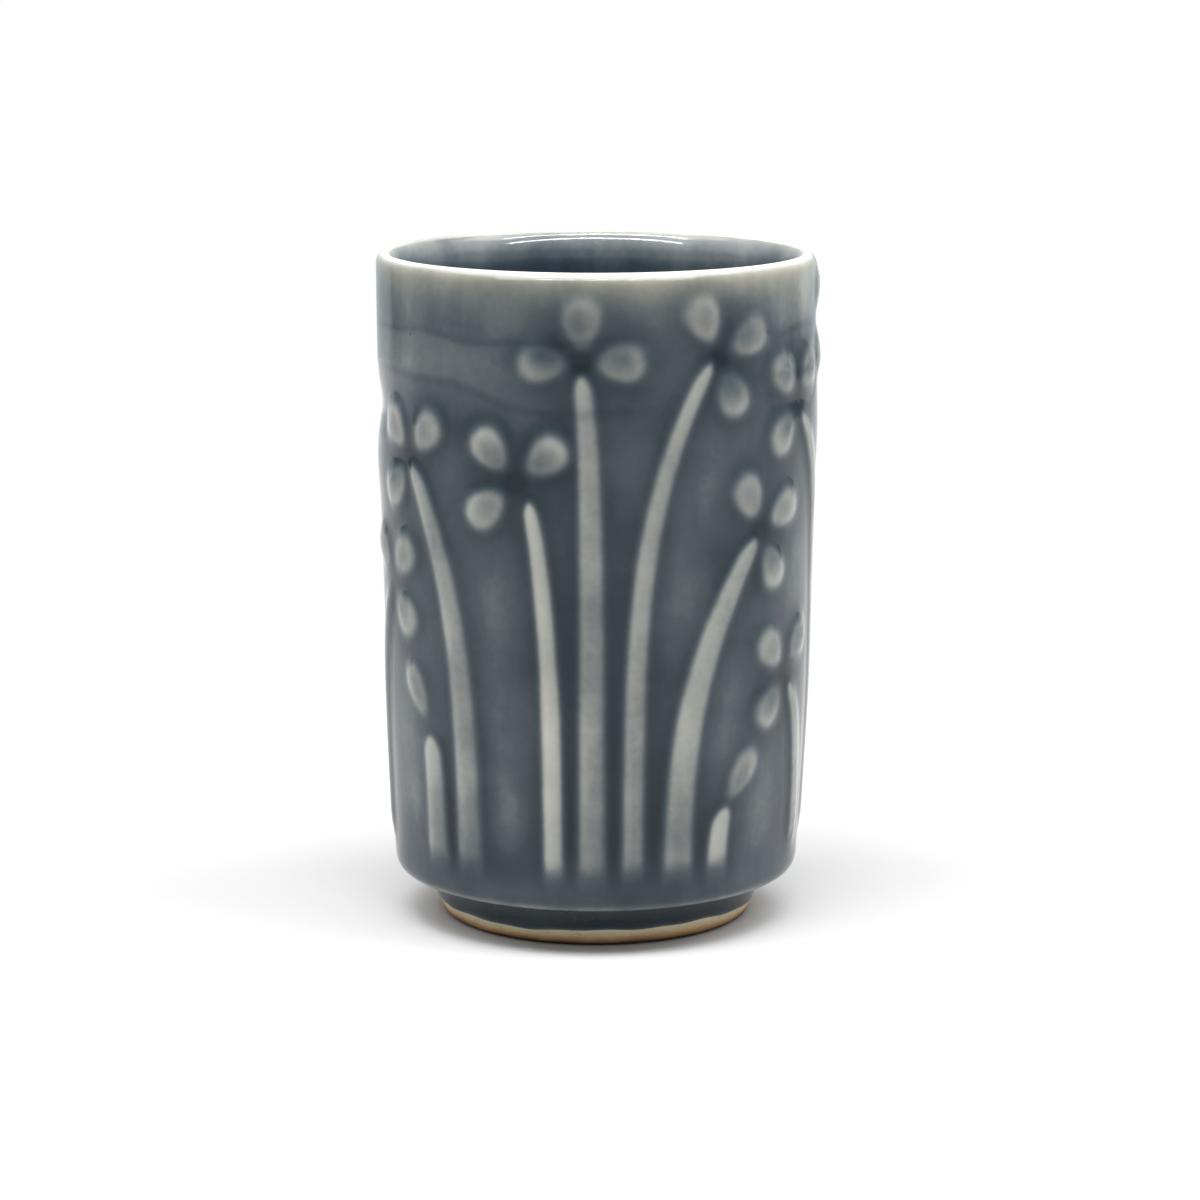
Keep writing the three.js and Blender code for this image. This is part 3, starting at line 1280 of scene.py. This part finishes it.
@dataclass(frozen=True)
class ClayFinish:
    """The bare clay of the foot: pale where the glaze ends, toasted below, darkest where it stands,
    partly scuffing and partly painted contact shadow.
    """

    pale: Colour = linear(208, 202, 174)
    buff: Colour = linear(210, 186, 144)
    toast: Colour = linear(176, 130, 84)
    scuff_and_contact_shadow: Colour = linear(56, 36, 20)
    grit: Colour = linear(120, 96, 66)
    lowest: float = -3.2
    span: float = 3.6
    shades_at: tuple[float, ...] = (0.0, 0.36, 0.5, 0.66, 0.88)
    stain_scale: float = 160.0
    stain_reach: float = 0.7
    grain_scale: float = 1400.0
    grit_from: float = 0.66
    grit_share: float = 0.25
    glaze_edge: Point = (-0.04, 0.06)
    dryness: float = 0.62
    tooth_strength: float = 0.5
    tooth_height: float = 0.15 * MM

    def material(self, glaze: GlazeFinish) -> bpy.types.Material:
        """Builds the foot's material: clay below the glaze line, glaze above it.

        Args:
            glaze: The glaze above the line.

        Returns:
            The material.
        """
        material = bpy.data.materials.new("foot_clay_and_glaze")
        material.use_nodes = True
        graph = Graph(material.node_tree)
        place = graph.add("ShaderNodeTexCoord").outputs["Object"]
        line = graph.add("ShaderNodeAttribute", attribute_name=LINE_ATTRIBUTE).outputs["Fac"]
        grain = graph.noise(place, self.grain_scale, 4.0)
        stained = graph.vary(line, graph.noise(place, self.stain_scale, 3.0), self.stain_reach)
        share = graph.math("MULTIPLY_ADD", stained, 1 / self.span, -self.lowest / self.span)
        # The two lowest stops darken the foot's edge: partly scuffing, partly painted contact shadow.
        shades = (self.scuff_and_contact_shadow, self.scuff_and_contact_shadow, self.toast, self.buff, self.pale)
        clay = graph.ramp(share, list(zip(self.shades_at, shades)))
        is_grit = graph.math("GREATER_THAN", grain, self.grit_from)
        gritty = graph.mix(graph.math("MULTIPLY", is_grit, self.grit_share), clay, self.grit)
        depth = graph.add("ShaderNodeAttribute", attribute_name=GLAZE_ATTRIBUTE).outputs["Fac"]
        coat = graph.add("ShaderNodeGroup", node_tree=glaze.effect())
        graph.tree.links.new(depth, coat.inputs["Depth"])
        low, high = self.glaze_edge
        limits = {"Value": line, "From Min": low, "From Max": high}
        glazed = graph.add("ShaderNodeMapRange", limits).outputs[0]
        bare = graph.math("SUBTRACT", 1.0, glazed)
        rough = graph.math("MULTIPLY_ADD", bare, self.dryness, coat.outputs["Roughness"])
        tooth = {"Height": graph.math("MULTIPLY", grain, bare), "Strength": self.tooth_strength}
        bump = graph.add("ShaderNodeBump", {**tooth, "Distance": self.tooth_height})
        shader = graph.add(
            "ShaderNodeBsdfPrincipled",
            {
                "Base Color": graph.mix(glazed, gritty, coat.outputs["Colour"]),
                "Roughness": rough,
                "Normal": bump.outputs["Normal"],
                "IOR": glaze.refractive_index,
            },
        )
        graph.add("ShaderNodeOutputMaterial", {"Surface": shader.outputs["BSDF"]})
        return material


def dress(piece: bpy.types.Object, material: bpy.types.Material, node: str) -> None:
    """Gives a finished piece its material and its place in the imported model.

    Args:
        piece: The finished piece.
        material: Its material.
        node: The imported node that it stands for.
    """
    piece.data.materials.clear()
    piece.data.materials.append(material)
    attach(piece, ROOT)
    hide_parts(node)
    log.info("%s: %d faces", piece.name, len(piece.data.polygons))


@dataclass
class CupBody:
    """The thrown body under its glaze."""

    cup: CupSizes
    sheet: GlazeSheet
    panels: int = 320
    # Glaze depth inside, by millimetres below the rim: thin and pale by the lip, darker further down.
    # The darkening is partly thicker glaze and partly painted shade inside the cup.
    inner_depths_and_shade: tuple[Point, ...] = (
        (0.0, -0.3),
        (0.4, 0.0),
        (1.0, 0.12),
        (1.5, 0.2),
        (2.1, 0.28),
        (2.9, 0.42),
        (4.1, 0.5),
        (5.8, 0.68),
        (9.0, 0.8),
    )
    # Painted reflection inside: broad pale patches at the back right and far left, each an angle in
    # degrees from the front and a reach.
    painted_sheens: tuple[Point, ...] = ((153.0, 27.0), (-120.0, 9.0))
    sheen_gain: float = 0.13
    crest_margin: float = 0.2 * MM
    floor_margin: float = 0.1 * MM
    lip_share: float = 0.45
    cool_reach: float = 2 * MM
    skin: float = 0.3 * MM

    def build(self) -> bpy.types.Object:
        """Turns the body and stores how deep the glaze lies on it, painted shade and painted reflection
        included.

        Returns:
            The body.
        """
        piece = turned("glazed_body", self.cup.profile(), self.panels)
        points = points_of(piece)
        radius, height = np.hypot(points[:, 0], points[:, 1]), points[:, 2]
        angle = np.arctan2(points[:, 0], -points[:, 1])
        outer = self.sheet.sample(self.sheet.depth, angle, height)
        below = self.cup.height - height
        drops, depths = zip(*self.inner_depths_and_shade)
        # Inside, the far lip gets the same painted shade.
        inner = np.interp(below / MM, drops, depths) + self.sheet.far_lip_shade(angle, below)
        # Painted reflection: the inner glaze is paled where the wall would show lit surroundings.
        for middle, reach in self.painted_sheens:
            inner -= self.sheen_gain * hump(np.degrees(angle) - middle, reach)
        outside = self.cup.outside(height)
        is_inside = radius < self.cup.lip_radius - self.crest_margin
        is_inside &= height > self.cup.floor_top - self.floor_margin
        is_inside &= radius < outside - self.lip_share * self.cup.lip_thickness
        store(piece, GLAZE_ATTRIBUTE, np.where(is_inside, inner, outer))
        cool = -smooth_step(0.0, self.cool_reach, below)
        store(piece, LIP_ATTRIBUTE, np.where(is_inside, cool, self.sheet.lip_tint(angle, height)))
        swell = self.sheet.sample(self.sheet.swell, angle, height)
        swollen = radius + np.where(radius > outside - self.skin, swell, 0.0)
        points[:, 0], points[:, 1] = swollen * np.sin(angle), -swollen * np.cos(angle)
        move_points(piece, points)
        return piece

    def dress(self, piece: bpy.types.Object, glaze: GlazeFinish) -> None:
        """Glazes the body."""
        dress(piece, glaze.material(), "cup_body")


@dataclass
class FootRing:
    """The ring that the cup stands on: bare clay below, a roll of glaze above."""

    cup: CupSizes
    panels: int = 288
    rest_outer: float = 21.3 * MM
    rest_inner: float = 17.9 * MM
    edge_radius: float = 1.1 * MM
    top_width: float = 6.5 * MM
    glaze_line: float = 2.3 * MM
    glaze_step: float = 0.14 * MM
    step_rise: float = 0.22 * MM
    step_band: float = 0.5 * MM
    bevel: float = 0.4 * MM
    fine_steps: int = 8
    upper_steps: int = 14
    inner_steps: int = 22
    # Glaze depth on the foot, deepest up under the heel: partly pooled glaze, partly painted shade
    # beneath the heel's overhang.
    glaze_depth: float = 1.15
    thinned: Point = (0.95, 0.6)
    waver: float = 0.16 * MM
    waver_reach: float = 1.1
    line_waves: tuple[Wave, ...] = ((1.0, 3, 0.4), (0.6, 8, 2.0), (0.35, 19, 0.0))

    def profile(self) -> list[Point]:
        """Draws the ring's section.

        Returns:
            Radius and height of each point.
        """
        top, top_radius = self.cup.foot_height, self.cup.foot_top_radius
        edge = self.rest_outer + self.edge_radius
        steps = self.fine_steps
        inner_edge = self.rest_inner + self.bevel
        points: list[Point] = [(r, 0.0) for r in np.linspace(inner_edge, self.rest_outer, steps)]
        for turn in np.linspace(0.0, math.pi / 2, steps)[1:]:
            sink = self.glaze_step * math.sin(turn)
            radius = self.rest_outer + self.edge_radius * math.sin(turn) - sink
            points.append((radius, self.edge_radius * (1 - math.cos(turn))))
        step_top = self.glaze_line + self.step_band
        heights = [*np.linspace(self.edge_radius, self.glaze_line, steps)[1:]]
        heights += [*np.linspace(self.glaze_line, step_top, steps)[1:]]
        heights += [*np.linspace(step_top, top, self.upper_steps)[1:]]
        for height in heights:
            slope = (height - self.edge_radius) / (top - self.edge_radius)
            over = (height - self.glaze_line) / self.step_rise
            bare = self.glaze_step * (1 - float(smooth_step(0.0, 1.0, np.array(over))))
            points.append((edge + (top_radius - edge) * slope - bare, height))
        inner_top = top_radius - self.top_width
        points += [(r, top) for r in np.linspace(top_radius, inner_top, steps)[1:]]
        for height in np.linspace(top, self.bevel, self.inner_steps)[1:]:
            points.append((self.rest_inner + (inner_top - self.rest_inner) * height / top, height))
        points.append(points[0])
        return points

    def build(self) -> bpy.types.Object:
        """Turns the ring, wavers its glaze line and stores what its material reads.

        Returns:
            The ring.
        """
        piece = turned("foot_ring_bare_and_glazed", self.profile(), self.panels)
        points = points_of(piece)
        radius, height = np.hypot(points[:, 0], points[:, 1]), points[:, 2]
        angle = np.arctan2(points[:, 0], -points[:, 1])
        line = (height - self.glaze_line) / MM
        store(piece, LINE_ATTRIBUTE, line)
        thinning, reach = self.thinned
        thinning = thinning * np.exp(-np.clip(line, 0, None) / reach)
        store(piece, GLAZE_ATTRIBUTE, self.glaze_depth - thinning)
        near = hump(line, self.waver_reach) * (radius > self.rest_outer)
        wavered = height + self.waver * waves(angle, *self.line_waves) * near
        points[:, 2] = np.clip(wavered, 0.0, self.cup.foot_height)
        move_points(piece, points)
        return piece

    def dress(self, piece: bpy.types.Object, clay: ClayFinish, glaze: GlazeFinish) -> None:
        """Finishes the ring in clay and glaze."""
        dress(piece, clay.material(glaze), "foot_ring")


@dataclass
class FlowerRelief:
    """All the stems and petals, as blisters in the glazed wall."""

    cup: CupSizes
    sheet: GlazeSheet
    bed: float = 0.25 * MM
    tuck: float = 0.03 * MM
    tuck_power: int = 16
    ball_back: float = -1e-6
    strip_back: float = -0.5
    lip_margin: float = 0.3 * MM
    lip_squeeze: float = 0.3

    def laid(self, blank: bpy.types.Object, relief: Relief, is_petal: bool) -> bpy.types.Object:
        """Lays a copy of a blank on the wall.

        Args:
            blank: The ball or strip of clay.
            relief: The piece that it becomes.
            is_petal: Whether the blank is round.

        Returns:
            The blister, its hidden back bedded in the wall.
        """
        piece = bpy.data.objects.new(f"glazed_{relief.node}", blank.data.copy())
        piece.data.name = piece.name
        bpy.context.scene.collection.objects.link(piece)
        points = points_of(piece)
        flat = relief.spread(points)
        margin = self.cup.lip_base - self.lip_margin
        squeezed = margin + self.lip_squeeze * (flat[:, 1] - margin)
        flat[:, 1] = np.where(flat[:, 1] > margin, squeezed, flat[:, 1])
        angle = relief.foot + flat[:, 0] / self.cup.outside(flat[:, 1])
        surface = self.sheet.sample(self.sheet.surface, angle, flat[:, 1])
        if is_petal:
            rim = np.hypot(points[:, 0], points[:, 1])
            back = points[:, 2] < self.ball_back
            depth = self.bed * np.abs(points[:, 2])
        else:
            rim = np.max(np.abs(points[:, :2]), axis=1)
            back = points[:, 2] < self.strip_back
            depth = self.bed
        out = np.where(back, -self.tuck - depth, surface - self.tuck * rim**self.tuck_power)
        out = out + self.sheet.sample(self.sheet.swell, angle, flat[:, 1])
        move_points(piece, self.cup.lay(np.column_stack((flat, out)), relief.foot))
        store(piece, GLAZE_ATTRIBUTE, self.sheet.sample(self.sheet.depth, angle, flat[:, 1]))
        store(piece, LIP_ATTRIBUTE, self.sheet.lip_tint(angle, flat[:, 1]))
        clear_selection()
        piece.select_set(True)
        bpy.context.view_layer.objects.active = piece
        bpy.ops.object.shade_smooth_by_angle(angle=SMOOTH_ANGLE)
        return piece

    def build(self, reliefs: list[Relief]) -> dict[str, bpy.types.Object]:
        """Lays every stem and petal.

        Args:
            reliefs: The pieces.

        Returns:
            Node name to finished piece.
        """
        ball, strip = petal_blank(), stem_blank()
        made: dict[str, bpy.types.Object] = {}
        for relief in reliefs:
            is_petal = isinstance(relief, Petal)
            made[relief.node] = self.laid(ball if is_petal else strip, relief, is_petal)
        for blank in (ball, strip):
            bpy.data.objects.remove(blank)
        return made

    def dress(self, made: dict[str, bpy.types.Object], glaze: GlazeFinish) -> None:
        """Glazes every stem and petal."""
        for node, piece in made.items():
            dress(piece, glaze.material(), node)


@dataclass(frozen=True)
class Softbox:
    """A soft area light that faces the cup: place, size in metres and brightness of its face.

    A light that only glints is one whose light is too weak to count but whose reflection shows.
    """

    name: str
    place: tuple[float, float, float]
    width: float
    height: float
    brightness: float
    only_glints: bool = False

    def hang(self, target: Vector) -> None:
        """Hangs the light.

        Args:
            target: The point that it faces.
        """
        data = bpy.data.lights.new(self.name, "AREA")
        data.shape = "RECTANGLE"
        data.size, data.size_y = self.width, self.height
        data.energy = self.brightness * math.pi * self.width * self.height
        lamp = bpy.data.objects.new(self.name, data)
        lamp.location = self.place
        lamp.rotation_euler = (target - Vector(self.place)).to_track_quat("-Z", "Y").to_euler()
        lamp.visible_camera = False
        lamp.visible_diffuse = not self.only_glints
        bpy.context.scene.collection.objects.link(lamp)


@dataclass
class Studio:
    """The white table, the soft lights and the camera."""

    floor_radius: float = 0.6
    floor_sides: int = 96
    floor_colour: Colour = (0.65, 0.65, 0.65)
    white_from: float = 0.045
    white_past: float = 0.2
    backdrop: float = 1.0
    gap: float = 0.4
    left_wall: float = 0.95
    right_wall: float = 1.15
    front: float = 0.16
    backdrop_seen: float = 0.75
    gap_seen: float = 0.3
    sides_seen: float = 0.75
    front_seen: float = 0.75
    glint_colour: Colour = (0.88, 0.98, 1.0)
    ceiling: float = 0.45
    to_right: Point = (-0.05, 0.05)
    right_shift: float = -0.2
    to_gap: Point = (0.5, 0.62)
    to_wall: Point = (0.74, 0.86)
    to_front: Point = (1.7, 2.4)
    to_gap_seen: Point = (0.76, 0.82)
    to_sides_seen: Point = (0.95, 1.2)
    to_ceiling: Point = (0.7, 0.8)
    camera_place: tuple[float, float, float] = (0.59 * MM, -540.0 * MM, 149.8 * MM)
    camera_pitch: float = 0.1918
    camera_clip: Point = (0.01, 10.0)
    focal_pixels: float = 3845.8
    image_pixels: float = 1200.0
    sensor: float = 36.0
    softboxes: tuple[Softbox, ...] = (
        Softbox("left_lamp", (-0.45, -0.1, 0.77), 0.5, 0.5, 4.8),
        Softbox("right_lamp", (0.46, -0.1, 0.76), 0.5, 0.5, 6.0),
        Softbox("overhead_box", (0.0, 0.05, 0.95), 1.0, 0.6, 0.4),
        Softbox("front_box", (-0.05, -0.36, 0.98), 0.6, 0.34, 10.0),
        Softbox("upper_tube", (0.0, -0.47, 1.06), 2.0, 0.06, 60.0, True),
        Softbox("lower_tube", (0.0, -0.82, 0.83), 2.4, 0.06, 60.0, True),
    )

    def floor(self) -> None:
        """Lays the white table top, which burns out to plain white away from the cup."""
        clear_selection()
        shape = {"vertices": self.floor_sides, "radius": self.floor_radius}
        bpy.ops.mesh.primitive_circle_add(**shape, fill_type="NGON")
        floor = bpy.context.object
        floor.name = "table_top"
        material = bpy.data.materials.new("white_table_top")
        material.use_nodes = True
        graph = Graph(material.node_tree)
        place = graph.add("ShaderNodeTexCoord").outputs["Object"]
        away = graph.add("ShaderNodeVectorMath", {0: place}, operation="LENGTH").outputs["Value"]
        burnt = graph.rise(away, self.white_from, self.white_past)
        paper = graph.add("ShaderNodeBsdfDiffuse", {"Color": (*self.floor_colour, 1.0)})
        white = graph.add("ShaderNodeEmission", {"Color": (1.0, 1.0, 1.0, 1.0), "Strength": 1.0})
        layers = {0: burnt, 1: paper.outputs["BSDF"], 2: white.outputs["Emission"]}
        mixed = graph.add("ShaderNodeMixShader", layers)
        graph.add("ShaderNodeOutputMaterial", {"Surface": mixed.outputs["Shader"]})
        floor.data.materials.append(material)

    def world(self) -> None:
        """Surrounds the cup: white for the camera; for light, a backdrop, two walls and a dim front."""
        world = bpy.data.worlds.new("studio_surround")
        bpy.context.scene.world = world
        world.use_nodes = True
        graph = Graph(world.node_tree)
        way = graph.add("ShaderNodeTexCoord").outputs["Generated"]
        axes = graph.add("ShaderNodeSeparateXYZ", {"Vector": way}).outputs
        turn = graph.math("ARCTAN2", axes["X"], axes["Y"])
        aside = graph.math("ABSOLUTE", turn)
        is_right = graph.rise(turn, *self.to_right)
        wall = graph.blend(is_right, self.left_wall, self.right_wall)
        edge = graph.math("MULTIPLY_ADD", is_right, self.right_shift, aside)
        behind = graph.blend(graph.rise(edge, *self.to_gap), self.backdrop, self.gap)
        sides = graph.blend(graph.rise(edge, *self.to_wall), behind, wall)
        is_front = graph.rise(aside, *self.to_front)
        lit = graph.blend(is_front, sides, self.front)
        is_gap = graph.rise(aside, *self.to_gap_seen)
        seen_gap = graph.blend(is_gap, self.backdrop_seen, self.gap_seen)
        seen_sides = graph.blend(graph.rise(aside, *self.to_sides_seen), seen_gap, self.sides_seen)
        seen = graph.blend(is_front, seen_sides, self.front_seen)
        path = graph.add("ShaderNodeLightPath").outputs
        round_about = graph.blend(path["Is Glossy Ray"], lit, seen)
        above = graph.blend(graph.rise(axes["Z"], *self.to_ceiling), round_about, self.ceiling)
        strength = graph.blend(path["Is Camera Ray"], above, 1.0)
        tint = graph.mix(path["Is Glossy Ray"], (1.0, 1.0, 1.0), self.glint_colour)
        shader = graph.add("ShaderNodeBackground", {"Color": tint, "Strength": strength})
        graph.add("ShaderNodeOutputWorld", {"Surface": shader.outputs["Background"]})

    def camera(self) -> None:
        """Sets the camera at the photograph's place."""
        data = bpy.data.cameras.new("camera")
        data.sensor_width = self.sensor
        data.lens = self.focal_pixels / self.image_pixels * self.sensor
        data.clip_start, data.clip_end = self.camera_clip
        camera = bpy.data.objects.new("camera", data)
        camera.location = self.camera_place
        camera.rotation_euler = (math.pi / 2 - self.camera_pitch, 0.0, 0.0)
        bpy.context.scene.collection.objects.link(camera)
        bpy.context.scene.camera = camera

    def build(self, target: Vector) -> None:
        """Sets up the table, lights and camera.

        Args:
            target: What the lights face.
        """
        self.floor()
        self.world()
        for softbox in self.softboxes:
            softbox.hang(target)
        self.camera()
        bpy.context.scene.view_settings.view_transform = "Standard"


def main() -> None:
    """Builds and dresses the cup, then sets the studio round it."""
    logging.basicConfig(level=logging.INFO, format="%(name)s: %(message)s")
    cup = CupSizes.from_frame()
    reliefs = [piece for plant in plants() for piece in plant.pieces(cup)]
    sheet = GlazeSheet(cup)
    for piece in reliefs:
        sheet.press(piece)
    for plant in plants():
        if plant.habit is Habit.FLOWER:
            sheet.pool_eye(plant)
    sheet.flow()
    glaze, clay = GlazeFinish(), ClayFinish()
    body = CupBody(cup, sheet)
    body.dress(body.build(), glaze)
    ring = FootRing(cup)
    ring.dress(ring.build(), clay, glaze)
    flowers = FlowerRelief(cup, sheet)
    flowers.dress(flowers.build(reliefs), glaze)
    Studio().build(Vector((0.0, 0.0, cup.height / 2)))


if __name__ == "__main__":
    main()
